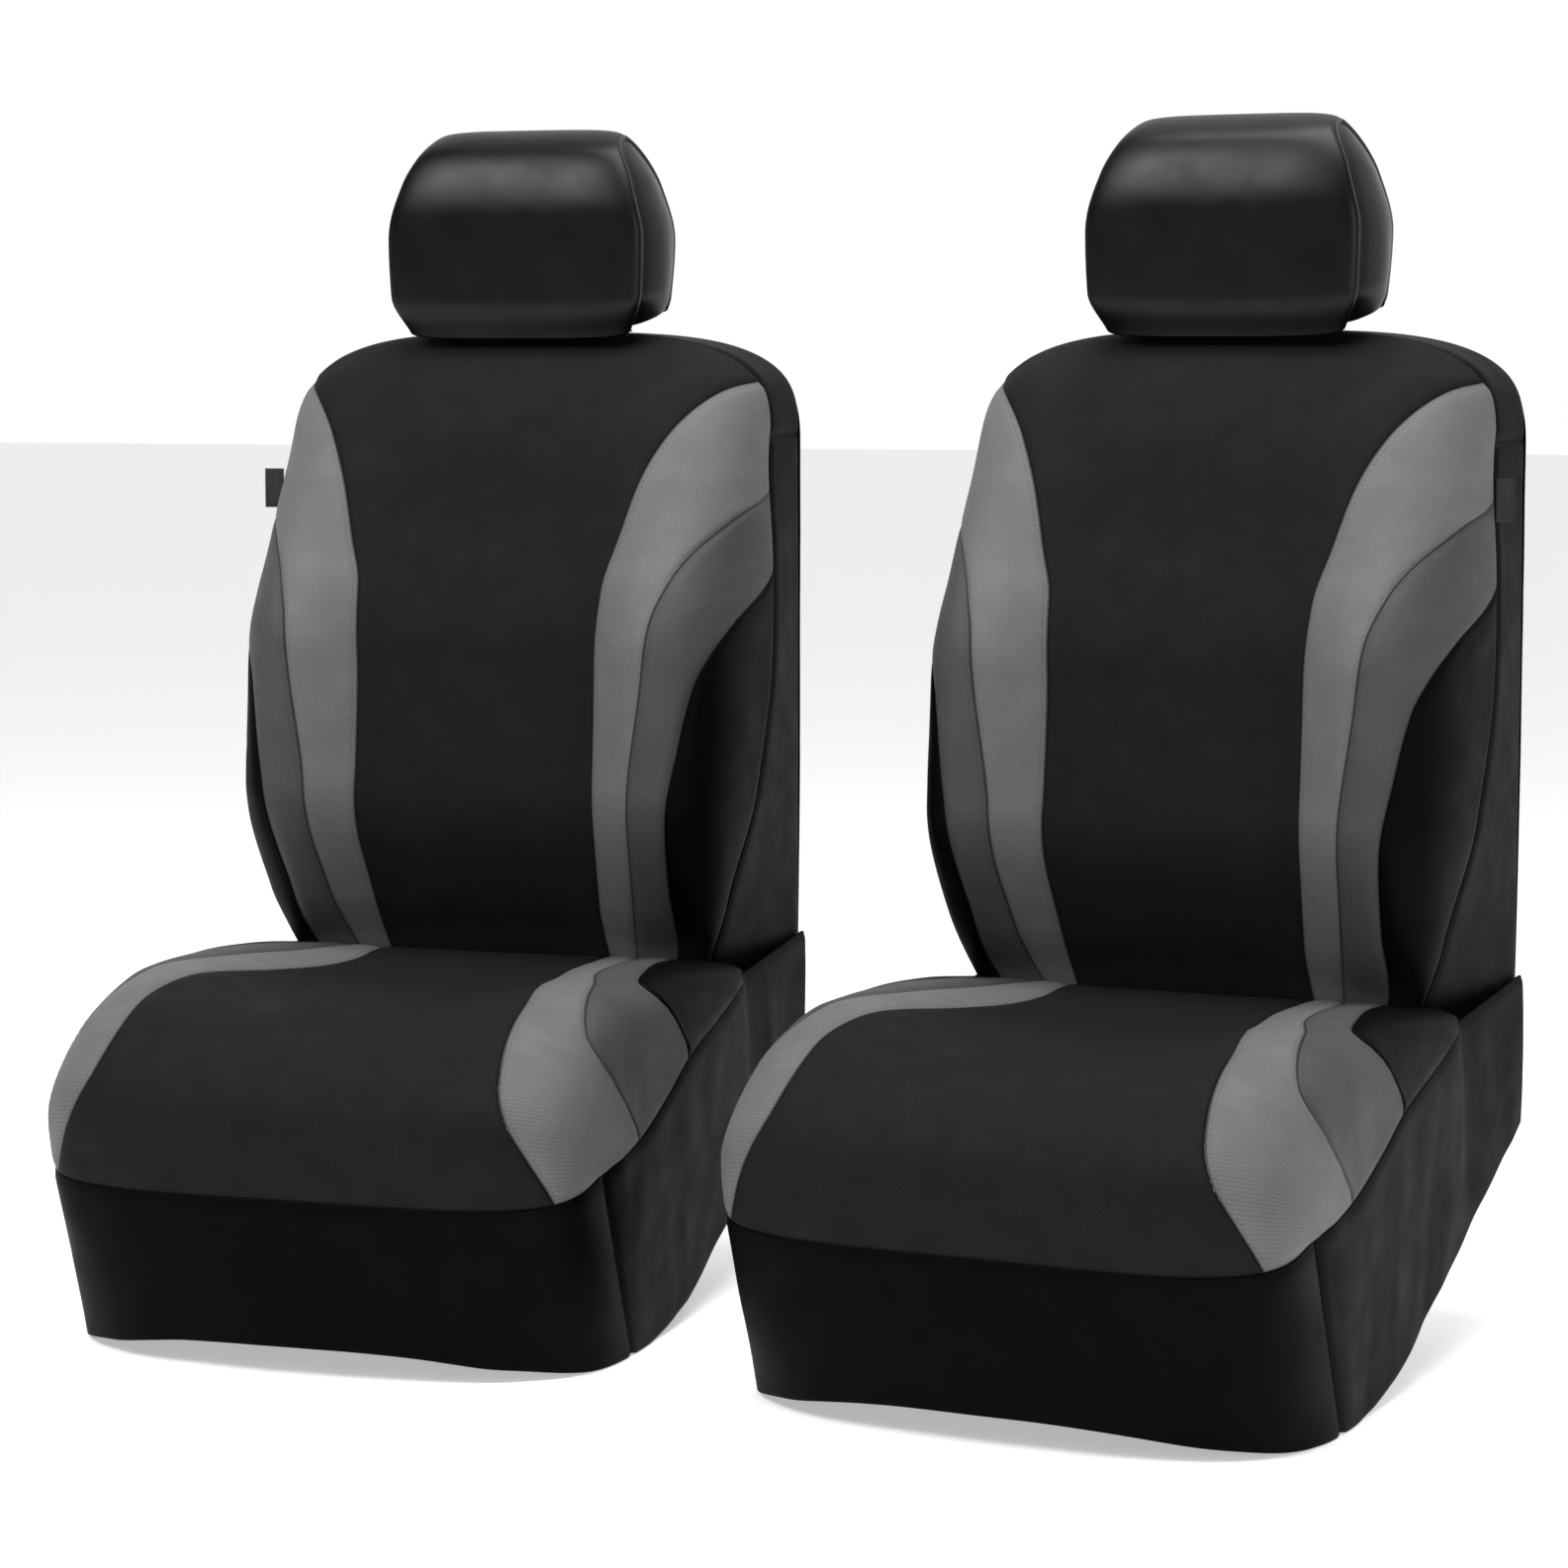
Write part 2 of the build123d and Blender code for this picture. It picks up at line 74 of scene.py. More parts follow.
# ---- cushion top: stations run from the junction with the back to the front seam ----
TOP_CREST_Y = [(0, 0.47), (0.2, 0.385), (0.4, 0.28), (0.6, 0.165), (0.72, 0.088), (0.82, 0.024),
               (0.9, -0.014), (1, 0)]
TOP_CREST_Z = [(0, 0.322), (0.2, 0.334), (0.4, 0.343), (0.6, 0.345), (0.72, 0.33), (0.82, 0.291),
               (0.9, 0.233), (1, 0.155)]
TOP_SEAM_X = [(0, 0.25), (0.1, 0.258), (0.4, 0.264), (0.7, 0.267), (0.9, 0.268), (1, 0.262)]
TOP_SEAM_Y = [(0, 0.512), (0.2, 0.462), (0.4, 0.395), (0.58, 0.322), (0.7, 0.252), (0.8, 0.185),
              (1, 0.1)]
TOP_SEAM_Z = [(0, 0.303), (0.2, 0.289), (0.4, 0.272), (0.58, 0.253), (0.7, 0.222), (0.8, 0.197),
              (1, 0.179)]
TOP_SQUARENESS = [(0, 4.5), (0.7, 4.5), (1, 4)]
TOP_HOLLOW = [(0, 0.004), (0.2, 0.02), (0.4, 0.032), (0.6, 0.03), (0.8, 0.01), (1, 0)]
TOP_LIGHT_EDGE = [(0, 0.285), (0.2, 0.265), (0.45, 0.31), (0.6, 0.365), (0.7, 0.395), (0.8, 0.41),
                  (0.85, 0.425), (0.89, 0.455), (0.94, 0.51), (1, 0.59)]
TOP_DARK_EDGE = [(0, 0.36), (0.2, 0.37), (0.45, 0.42), (0.57, 0.47), (0.67, 0.505), (0.74, 0.555),
                 (0.77, 0.65), (0.8, 0.94), (0.81, 1), (1, 1)]
TOP_BLACK_EDGE = [(0, 0.44), (0.2, 0.46), (0.38, 0.5), (0.48, 0.53), (0.52, 0.59), (0.56, 0.82),
                  (0.58, 0.95), (0.6, 1), (1, 1)]
TOP_DARK_TIP = 0.81
TOP_BLACK_TIP = 0.6

# ---- edges that run straight through the stations ----
LEFT_SEAM = [(0, -1), (1, -1)]
MIDDLE = [(0, 0), (1, 0)]
SIDE_SEAM = [(0, 1), (1, 1)]

# ---- skirt ----
HEM_X = 0.262
HEM_CORNER_Y = 0.17
HEM_SQUARENESS = 2.6
HEM_Z = [(0, 0.025), (0.033, 0.011), (0.112, 0), (0.211, 0), (0.311, 0.017), (0.411, 0.06),
         (0.684, 0.185)]
SKIRT_REAR = (0.256, 0.683, 0.325)
SKIRT_REAR_SHARE = 0.3

# ---- shaping of the surfaces, as shares of the half width or of the way down a side ----
HOLLOW_EDGE = 0.88      # where a hollow has faded out
HOLLOW_FADE = 0.6
HEAD_SIDE_PULL_Y = 0.3
HEAD_SIDE_PULL_Z = 0.12
REAR_CROWN = 0.004      # metres

# ---- headrest cover: stations run from the front hem over the top to the back hem ----
HEAD_Y = [(0, 0.548), (0.12, 0.532), (0.3, 0.53), (0.44, 0.55), (0.55, 0.596), (0.66, 0.636),
          (0.8, 0.65), (1, 0.64)]
HEAD_Z = [(0, 0.918), (0.12, 0.955), (0.3, 1.035), (0.44, 1.102), (0.55, 1.125), (0.66, 1.1),
          (0.8, 1.025), (1, 0.942)]
HEAD_HALF_WIDTH = [(0.918, 0.118), (0.955, 0.133), (1.015, 0.135), (1.075, 0.122), (1.11, 0.106),
                   (1.125, 0.098)]
HEAD_CENTRE_Y = 0.59
HEAD_CENTRE_Z = 1.025
HEAD_FRONT_END = 0.56
HEAD_SIDE_CROWN = 0.009

# ---- small pieces ----
FLAP = [(0.496, 0.292), (0.526, 0.248), (0.556, 0.2)]
FLAP_HALF_WIDTH = 0.185
STRAP_X = 0.12
STRAP_WIDTH = 0.025
STRAP_ROUTE = [(0.014, 0.06), (0.09, 0.13), (0.3, 0.148), (0.505, 0.16)]
TAG_WIDTH = 0.02
TAG_HEIGHT = 0.039
TAG_Z = 0.77
# Share of the half width, place up the back, and angle that the label leans back.
TAGS = {"driver": (1.0, 0.82, math.radians(50)), "passenger": (0.73, 0.775, 0.0)}

# ---- cloth ----
CLOTH = 0.003
STRETCH = 0.97          # cut size as a share of the size when pulled over the seat
DIP_DEPTH = 0.0024      # how far a seam is pulled into the foam
DIP_WIDTH = 0.006
FOLD_HEIGHT = 0.0012
FOLD_START = 0.02       # folds fade out this near a seam
FOLD_SEEDS = {"driver": 7.3, "passenger": 31.9}
BROAD_FOLDS = 14        # broad folds in a metre
SEAM_SHADOW = (0.0004, 0.0026)
CLEAR_OF_SEAM = 0.003   # past the reach of the seam's shadow
HEAD_DIP_DEPTH = 0.001
STITCH_LENGTH = 0.0055
STITCH_INSET = 0.0045
STITCH_HALF_WIDTH = 0.0007
STITCH_SHARE = 0.66     # thread showing, as a share of the stitch length
STRAP_THICKNESS = 0.002
RIBBON_ROWS = 60
RIBBON_COLUMNS = 9
TAG_THICKNESS = 0.0016
TAG_CURL = 0.0015
TAG_BOW = 0.02


# ---- shape ----
def smooth(place, stations):
    """The value at each place on a smooth curve through the stations, without overshoot."""
    xs, ys = np.array(stations, float).T
    rise = np.diff(ys) / np.diff(xs)
    product = rise[:-1] * rise[1:]
    total = rise[:-1] + rise[1:]
    between = np.where(product > 0, 2 * product / np.where(total == 0, 1, total), 0)
    slope = np.concatenate((rise[:1], between, rise[-1:]))
    i = np.clip(np.searchsorted(xs, place, "right") - 1, 0, len(xs) - 2)
    span = xs[i + 1] - xs[i]
    s = (place - xs[i]) / span
    return ((2 * s ** 3 - 3 * s ** 2 + 1) * ys[i] + (s ** 3 - 2 * s ** 2 + s) * span * slope[i]
            + (3 * s ** 2 - 2 * s ** 3) * ys[i + 1] + (s ** 3 - s ** 2) * span * slope[i + 1])


def squircle(u, n):
    """Across (-1 to 1) and drop (0 to 1) round a squarish curve of exponent n."""
    angle = np.abs(u) * math.pi / 2
    sine, cosine = np.sin(angle), np.clip(np.cos(angle), 0, 1)
    reach = (sine ** n + cosine ** n) ** (1 / n)
    return np.sign(u) * sine / reach, 1 - cosine / reach


def hollow(across):
    """1 in the middle of a seat, fading to 0 towards its bolsters."""
    t = np.clip((HOLLOW_EDGE - np.abs(across)) / HOLLOW_FADE, 0, 1)
    return t * t * (3 - 2 * t)


def stack(x, y, z):
    return np.stack(np.broadcast_arrays(x, y, z), axis=-1).astype(float)


def back_point(u, v):
    across, drop = squircle(u, smooth(v, BACK_SQUARENESS))
    crest_y, crest_z = smooth(v, BACK_CREST_Y), smooth(v, BACK_CREST_Z)
    y = crest_y + (smooth(v, BACK_SEAM_Y) - crest_y) * drop + smooth(v, BACK_HOLLOW) * hollow(across)
    z = crest_z + (smooth(v, BACK_SEAM_Z) - crest_z) * drop
    return stack(smooth(v, BACK_SEAM_X) * across, y, z)


def cushion_point(u, v):
    across, drop = squircle(u, smooth(v, TOP_SQUARENESS))
    crest_y, crest_z = smooth(v, TOP_CREST_Y), smooth(v, TOP_CREST_Z)
    sink = smooth(v, TOP_HOLLOW) * hollow(across)
    y = crest_y + (smooth(v, TOP_SEAM_Y) - crest_y) * drop + sink
    z = crest_z + (smooth(v, TOP_SEAM_Z) - crest_z) * drop - sink
    return stack(smooth(v, TOP_SEAM_X) * across, y, z)


def head_point(u, v):
    y, z = smooth(v, HEAD_Y), smooth(v, HEAD_Z)
    across, drop = squircle(u, 4)
    return stack(smooth(z, HEAD_HALF_WIDTH) * across, y + (HEAD_CENTRE_Y - y) * HEAD_SIDE_PULL_Y * drop,
                 z + (HEAD_CENTRE_Z - z) * HEAD_SIDE_PULL_Z * drop)


def hem_point(u):
    across, drop = squircle(u, HEM_SQUARENESS)
    y = HEM_CORNER_Y * drop
    return stack(HEM_X * across, y, smooth(y, HEM_Z))


def between(start, end, share):
    return start + (end - start) * share[..., None]


def band_point(u, v):
    """Round the top of the back with u, and from the front seam to the rear with v."""
    seam = back_point(u, 1 + 0 * v)
    rear = stack(seam[..., 0], BACK_REAR_Y, seam[..., 2])
    return between(seam, rear, v)


def rear_point(u, v):
    top = back_point(u, 1 + 0 * v)
    z = BACK_REAR_HEM_Z + (top[..., 2] - BACK_REAR_HEM_Z) * v
    return stack(top[..., 0], BACK_REAR_Y + REAR_CROWN * (1 - u ** 2) * np.sin(math.pi * v), z)


def back_side_point(side):
    def point(u, v):
        seam = back_point(side + 0 * u, v)
        rear = stack(side * BACK_REAR_X + 0 * v, BACK_REAR_Y, smooth(v, SIDE_REAR_Z))
        return between(seam, rear, u)
    return point


def skirt_front_point(u, v):
    return between(hem_point(u), cushion_point(u, 1 + 0 * u), v)


def skirt_side_point(side):
    """Up from the hem with v, and from the rear edge forward to the front corner with u."""
    rear = np.array(SKIRT_REAR) * (side, 1, 1)

    def point(u, v):
        on_seam = np.clip((u - SKIRT_REAR_SHARE) / (1 - SKIRT_REAR_SHARE), 0, 1)
        behind = np.clip(u / SKIRT_REAR_SHARE, 0, 1)
        seam = between(rear + 0 * stack(u, u, u), cushion_point(side + 0 * u, on_seam), behind)
        y = SKIRT_REAR[1] + (HEM_CORNER_Y - SKIRT_REAR[1]) * u
        x = side * (SKIRT_REAR[0] + (HEM_X - SKIRT_REAR[0]) * u)
        return between(stack(x, y, smooth(y, HEM_Z)), seam, v)
    return point


def head_side_point(side):
    def point(u, v):
        front = head_point(side + 0 * u, v * HEAD_FRONT_END)
        rear = head_point(side + 0 * u, 1 - v * (1 - HEAD_FRONT_END))
        crown = HEAD_SIDE_CROWN * np.sin(math.pi * u) * (1 - v ** 4)
        return between(front, rear, u) + stack(side * crown, 0, 0)
    return point


# Where each cover's seams are drawn in towards, so that panels that share a seam stay together.
def back_core(p):
    return stack(p[..., 0] * 0.3, 0.6, np.minimum(p[..., 2], 0.85))


def base_core(p):
    return stack(p[..., 0] * 0.3, np.clip(p[..., 1], 0.1, 0.6), 0.2)


def head_core(p):
    return stack(p[..., 0] * 0.5, 0.59, np.clip(p[..., 2], 0.96, 1.085))


# ---- panels ----
def lengths(p, axis):
    """Distance run along an axis of a grid of points."""
    steps = np.linalg.norm(np.diff(p, axis=axis), axis=-1)
    start = np.zeros_like(np.take(steps, [0], axis))
    return np.concatenate((start, np.cumsum(steps, axis)), axis)


def eased(count):
    """Places from 0 to 1, closer together near the ends, where the seams are."""
    t = np.linspace(0, 1, count)
    return 0.45 * t + 0.55 * (1 - np.cos(math.pi * t)) / 2


def grid(point, left, right, low, high, columns, rows):
    """Points of a surface between two edges, closer together near the seams."""
    v = low + (high - low) * eased(rows)
    start, end = smooth(v, left), smooth(v, right)
    u = start[:, None] + (end - start)[:, None] * eased(columns)[None, :]
    return point(u, np.broadcast_to(v[:, None], u.shape))


def seam_fields(p, sewn):
    """Distance to the nearest sewn edge of a panel, and distance run along it."""
    across, along = lengths(p, 1), lengths(p, 0)
    edges = {"left": (across, along), "right": (across[:, -1:] - across, along),
             "low": (along, across), "high": (along[-1:, :] - along, across)}
    far = np.full(across.shape, 9.0)
    run = np.zeros(across.shape)
    for name in sewn:
        distance, length = edges[name]
        run = np.where(distance < far, length, run)
        far = np.minimum(far, distance)
    return far, run


def folds(p, seed, amount, grain):
    """Soft unevenness and longer pulls in the cloth; grain gives the fold spacing along X, Y and Z."""
    out = np.zeros(p.shape[:-1])
    for index in np.ndindex(out.shape):
        x, y, z = p[index]
        broad = noise.noise(Vector((x * BROAD_FOLDS + seed, y * BROAD_FOLDS, z * BROAD_FOLDS)))
        pull = noise.noise(Vector((x * grain[0], y * grain[1] + seed, z * grain[2])))
        out[index] = amount * (0.6 * broad + 0.7 * pull * abs(pull))
    return out


def outward(p, core):
    """Unit normals of a grid of points, turned away from the cover's core."""
    across, along = np.gradient(p, axis=1), np.gradient(p, axis=0)
    n = np.cross(across, along)
    n /= np.maximum(np.linalg.norm(n, axis=-1, keepdims=True), 1e-12)
    away = p - core
    middle = tuple(s // 2 for s in n.shape[:2])
    return n if np.dot(n[middle], away[middle]) > 0 else -n


def seat_place(side):
    """Where a seat stands in the pair: side is 1 for the driver's seat, -1 for the passenger's."""
    return (Matrix.Translation((side * SEAT_SPACING / 2, TURN_Y - ORIGIN_Y, 0))
            @ Matrix.Rotation(-side * TOE_IN, 4, "Z") @ Matrix.Translation((0, -TURN_Y, 0)))


def mesh_of(name, p, flip):
    rows, columns = p.shape[:2]
    faces = []
    for j in range(rows - 1):
        for i in range(columns - 1):
            a = j * columns + i
            quad = (a, a + 1, a + 1 + columns, a + columns)
            faces.append(quad[::-1] if flip else quad)
    mesh = bpy.data.meshes.new(name)
    mesh.from_pydata(p.reshape(-1, 3).tolist(), [], faces)
    mesh.polygons.foreach_set("use_smooth", [True] * len(mesh.polygons))
    return mesh


def give_values(mesh, p, far, run):
    """The panel's flat coordinates, and the seam distances that the cloth materials draw stitches from."""
    across, along = lengths(p, 1), lengths(p, 0)
    flat = np.stack((across - across[:, -1:] / 2, np.broadcast_to(along[:, along.shape[1] // 2][:, None],
                                                                  across.shape)), axis=-1).reshape(-1, 2)
    layer = mesh.uv_layers.new(name="cloth")
    corners = np.zeros(len(mesh.loops), int)
    mesh.loops.foreach_get("vertex_index", corners)
    layer.data.foreach_set("uv", flat[corners].ravel())
    for name, values in (("seam", far), ("run", run)):
        mesh.attributes.new(name, "FLOAT", "POINT").data.foreach_set("value", values.ravel())


def thicken(obj, thickness, offset):
    thick = obj.modifiers.new("cloth", "SOLIDIFY")
    thick.thickness = thickness
    thick.offset = offset


def finish_piece(obj, seat, body, material, cad_node):
    side = SEATS[seat]
    obj.data.transform(seat_place(side))
    bpy.context.scene.collection.objects.link(obj)
    obj.data.materials.append(material)
    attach(obj, seat + "_" + body)
    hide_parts(seat + "_" + cad_node)


def panel(seat, body, cad_node, material, p, core, sewn, amount=FOLD_HEIGHT, grain=(6, 6, 30),
          depth=DIP_DEPTH):
    """One cut panel: dished in at its sewn edges, softly folded, and as thick as the cloth."""
    far, run = seam_fields(p, sewn)
    centre = core(p)
    normals = outward(p, centre)
    inward = centre - p
    inward /= np.linalg.norm(inward, axis=-1, keepdims=True)
    dip = depth * np.exp(-(far / DIP_WIDTH) ** 2)
    free = 1 - np.exp(-(np.minimum(far, 1) / FOLD_START) ** 2)
    rise = folds(p, FOLD_SEEDS[seat], amount, grain) * free
    shaped = p + inward * dip[..., None] + normals * rise[..., None]
    across, along = np.gradient(p, axis=1), np.gradient(p, axis=0)
    middle = tuple(s // 2 for s in p.shape[:2])
    flip = np.dot(np.cross(across[middle], along[middle]), normals[middle]) < 0
    mesh = mesh_of(seat + "_" + cad_node + "_cloth", shaped, flip)
    give_values(mesh, p, far, run)
    obj = bpy.data.objects.new(mesh.name, mesh)
    finish_piece(obj, seat, body, material, cad_node)
    thicken(obj, CLOTH, -1)
    declare(shaped)


def declare(p):
    """The panel's cloth as a sheet: its width and length, cut a little smaller than it lies when pulled
    over the seat, are worked out but not used.
    """
    width = float(lengths(p, 1)[:, -1].max()) * STRETCH
    length = float(lengths(p, 0)[-1, :].max()) * STRETCH


# ---- materials ----
def node(tree, kind, **values):
    made = tree.nodes.new(kind)
    for key, value in values.items():
        if key.startswith("in_"):
            made.inputs[int(key[3:])].default_value = value
        else:
            setattr(made, key, value)
    return made


def maths(tree, operation, a, b=0.0):
    made = node(tree, "ShaderNodeMath", operation=operation)
    for k, value in enumerate((a, b)):
        if isinstance(value, (int, float)):
            made.inputs[k].default_value = value
        else:
            tree.links.new(value, made.inputs[k])
    return made.outputs[0]


def weave(tree, uv, period, diagonal):
    """Over-and-under threads, from 0 in the gaps to 1 on the threads."""
    turn = node(tree, "ShaderNodeMapping")
    turn.inputs["Rotation"].default_value = (0, 0, math.radians(45 if diagonal else 0))
    turn.inputs["Scale"].default_value = (2 * math.pi / period, 2 * math.pi / period, 1)
    tree.links.new(uv, turn.inputs["Vector"])
    split = node(tree, "ShaderNodeSeparateXYZ")
    tree.links.new(turn.outputs[0], split.inputs[0])
    across, along = (maths(tree, "SINE", split.outputs[k]) for k in (0, 1))
    threads = maths(tree, "MULTIPLY", across, along)
    return maths(tree, "ADD", maths(tree, "MULTIPLY", threads, 0.5), 0.5)


def stitches(tree, seam, run):
    """1 on each stitch of the row that runs beside a seam."""
    off = maths(tree, "ABSOLUTE", maths(tree, "SUBTRACT", seam, STITCH_INSET))
    row = maths(tree, "LESS_THAN", off, STITCH_HALF_WIDTH)
    dash = maths(tree, "LESS_THAN", maths(tree, "FRACT", maths(tree, "DIVIDE", run, STITCH_LENGTH)),
                 STITCH_SHARE)
    return maths(tree, "MULTIPLY", row, dash)


def tinted(tree, colour, factor):
    """The colour times a factor socket."""
    scale = node(tree, "ShaderNodeVectorMath", operation="SCALE")
    if isinstance(colour, tuple):
        scale.inputs[0].default_value = colour
    else:
        tree.links.new(colour, scale.inputs[0])
    tree.links.new(factor, scale.inputs["Scale"])
    return scale.outputs[0]


def spread(tree, source, low, high, out_low, out_high):
    made = node(tree, "ShaderNodeMapRange", clamp=True)
    for k, value in enumerate((low, high, out_low, out_high), 1):
        made.inputs[k].default_value = value
    tree.links.new(source, made.inputs[0])
    return made.outputs[0]


def cloth(name, colour, roughness, sheen, period, contrast, diagonal=False, relief=0.25,
          specular=0.15):
    """Woven or knitted cloth with threads, stitched seams, uneven dye and light wear."""
    material = bpy.data.materials.new(name + "_look")
    material["slot"] = name
    material.use_nodes = True
    tree = material.node_tree
    surface = tree.nodes["Principled BSDF"]
    uv = node(tree, "ShaderNodeUVMap", uv_map="cloth").outputs[0]
    seam = node(tree, "ShaderNodeAttribute", attribute_name="seam").outputs["Fac"]
    run = node(tree, "ShaderNodeAttribute", attribute_name="run").outputs["Fac"]
    threads = weave(tree, uv, period, diagonal)
    dye = node(tree, "ShaderNodeTexNoise")
    dye.inputs["Scale"].default_value = 22
    dye.inputs["Detail"].default_value = 6
    fluff = node(tree, "ShaderNodeTexNoise")
    fluff.inputs["Scale"].default_value = 900
    for texture in (dye, fluff):
        tree.links.new(uv, texture.inputs["Vector"])
    stitch = stitches(tree, seam, run)
    shade = spread(tree, threads, 0, 1, 1 - contrast, 1 + contrast)
    shade = maths(tree, "MULTIPLY", shade, spread(tree, dye.outputs[0], 0.3, 0.7, 0.93, 1.07))
    shade = maths(tree, "MULTIPLY", shade, spread(tree, fluff.outputs[0], 0.3, 0.7, 0.85, 1.15))
    shade = maths(tree, "MULTIPLY", shade, spread(tree, seam, *SEAM_SHADOW, 0.25, 1))
    shade = maths(tree, "MULTIPLY", shade, spread(tree, stitch, 0, 1, 1, 0.8))
    tree.links.new(tinted(tree, colour, shade), surface.inputs["Base Color"])
    worn = spread(tree, dye.outputs[0], 0.35, 0.75, roughness, max(0.2, roughness - 0.12))
    tree.links.new(worn, surface.inputs["Roughness"])
    surface.inputs["Sheen Weight"].default_value = sheen
    surface.inputs["Sheen Roughness"].default_value = 0.45
    surface.inputs["Specular IOR Level"].default_value = specular
    height = maths(tree, "ADD", threads, maths(tree, "MULTIPLY", stitch, 1.5))
    height = maths(tree, "ADD", height, maths(tree, "MULTIPLY", fluff.outputs[0], 0.6))
    bump = node(tree, "ShaderNodeBump")
    bump.inputs["Strength"].default_value = relief
    bump.inputs["Distance"].default_value = 0.0006
    tree.links.new(height, bump.inputs["Height"])
    tree.links.new(bump.outputs[0], surface.inputs["Normal"])
    return material


def plain(name, colour, roughness, metallic):
    """Hard material with fine grain in its roughness."""
    material = bpy.data.materials.new(name + "_look")
    material["slot"] = name
    material.use_nodes = True
    tree = material.node_tree
    surface = tree.nodes["Principled BSDF"]
    surface.inputs["Base Color"].default_value = (*colour, 1)
    surface.inputs["Metallic"].default_value = metallic
    grain = node(tree, "ShaderNodeTexNoise")
    grain.inputs["Scale"].default_value = 400
    tree.links.new(spread(tree, grain.outputs[0], 0.3, 0.7, roughness - 0.06, roughness + 0.06),
                   surface.inputs["Roughness"])
    return material


WEAVE = cloth("black_weave", (0.0078, 0.0078, 0.008), 0.8, 0.0, 0.0024, 0.22, specular=0.08)
KNIT = cloth("black_knit", (0.0012, 0.0012, 0.0013), 0.6, 0.0, 0.0016, 0.08, relief=0.12, specular=0.035)
SATIN = cloth("satin_knit", (0.0012, 0.0012, 0.0013), 0.4, 0.0, 0.0014, 0.06, relief=0.06, specular=0.18)
LIGHT = cloth("light_mesh", (0.102, 0.102, 0.104), 0.7, 0.03, 0.0034, 0.22, diagonal=True, specular=0.2)
GREY = cloth("grey_mesh", (0.047, 0.047, 0.048), 0.7, 0.02, 0.0034, 0.25, diagonal=True, specular=0.2)
LABEL = cloth("label_cloth", (0.022, 0.022, 0.022), 0.6, 0.0, 0.001, 0.1)
STRAP = cloth("elastic_strap", (0.006, 0.006, 0.006), 0.7, 0.0, 0.002, 0.35)
PLASTIC = plain("black_plastic", (0.02, 0.02, 0.02), 0.45, 0.0)
STEEL = plain("steel_wire", (0.5, 0.5, 0.5), 0.35, 1.0)

SEATS = {"driver": 1, "passenger": -1}
ALL_ROUND = ("left", "right", "low", "high")


# ---- covers ----
def mirrored(stations, side):
    return [(place, side * value) for place, value in stations]


def back_cover(seat):
    light, dark = BACK_LIGHT_EDGE, BACK_DARK_EDGE
    p = grid(back_point, mirrored(light, -1), light, 0, 1, 61, 101)
    panel(seat, "back", "back_centre_panel", WEAVE, p, back_core, ("left", "right", "high"))
    for side, word in ((-1, "left"), (1, "right")):
        for node_name, near, far, tip, material in (
                ("back_light_stripe_", light, dark, 1, LIGHT),
                ("back_dark_stripe_", dark, BACK_BLACK_EDGE, BACK_DARK_TIP, GREY),
                ("back_bolster_", BACK_BLACK_EDGE, SIDE_SEAM, BACK_BLACK_TIP, KNIT)):
            p = grid(back_point, mirrored(near, side), mirrored(far, side), 0, tip, 33, 101)
            panel(seat, "back", node_name + word, material, p, back_core, ("left", "right"))
        p = grid(back_side_point(side), MIDDLE, SIDE_SEAM, 0, 1, 25, 81)
        panel(seat, "back", "back_side_" + word, KNIT, p, back_core, ("left", "right", "high"))
    p = grid(band_point, LEFT_SEAM, SIDE_SEAM, 0, 1, 121, 21)
    panel(seat, "back", "back_top_band", KNIT, p, back_core, ALL_ROUND, amount=0.0006)
    p = grid(rear_point, LEFT_SEAM, SIDE_SEAM, 0, 1, 61, 61)
    panel(seat, "back", "back_rear_panel", KNIT, p, back_core, ("left", "right", "high"), amount=0.0025)


def base_cover(seat):
    light, dark = TOP_LIGHT_EDGE, TOP_DARK_EDGE
    p = grid(cushion_point, mirrored(light, -1), light, 0, 1, 61, 101)
    panel(seat, "base", "base_centre_panel", WEAVE, p, base_core, ("left", "right", "high"))
    for side, word in ((-1, "left"), (1, "right")):
        for node_name, near, far, tip, material in (
                ("base_light_stripe_", light, dark, 1, LIGHT),
                ("base_dark_stripe_", dark, TOP_BLACK_EDGE, TOP_DARK_TIP, GREY),
                ("base_corner_insert_", TOP_BLACK_EDGE, SIDE_SEAM, TOP_BLACK_TIP, KNIT)):
            p = grid(cushion_point, mirrored(near, side), mirrored(far, side), 0, tip, 33, 91)
            sewn = ("left", "right", "high") if tip == 1 else ("left", "right")
            panel(seat, "base", node_name + word, material, p, base_core, sewn)
        p = grid(skirt_side_point(side), MIDDLE, SIDE_SEAM, 0, 1, 91, 31)
        panel(seat, "base", "base_skirt_" + word, KNIT, p, base_core, ("right", "high"),
              amount=0.003, grain=(6, 22, 5))
    p = grid(skirt_front_point, LEFT_SEAM, SIDE_SEAM, 0, 1, 121, 31)
    panel(seat, "base", "base_skirt_front", KNIT, p, base_core, ("left", "right", "high"),
          amount=0.003, grain=(22, 6, 5))
    ribbon(seat, "base_tuck_flap", KNIT, [0], FLAP, FLAP_HALF_WIDTH, CLOTH)
    ribbon(seat, "base_under_straps", STRAP, [-STRAP_X, STRAP_X], STRAP_ROUTE, STRAP_WIDTH / 2,
           STRAP_THICKNESS)


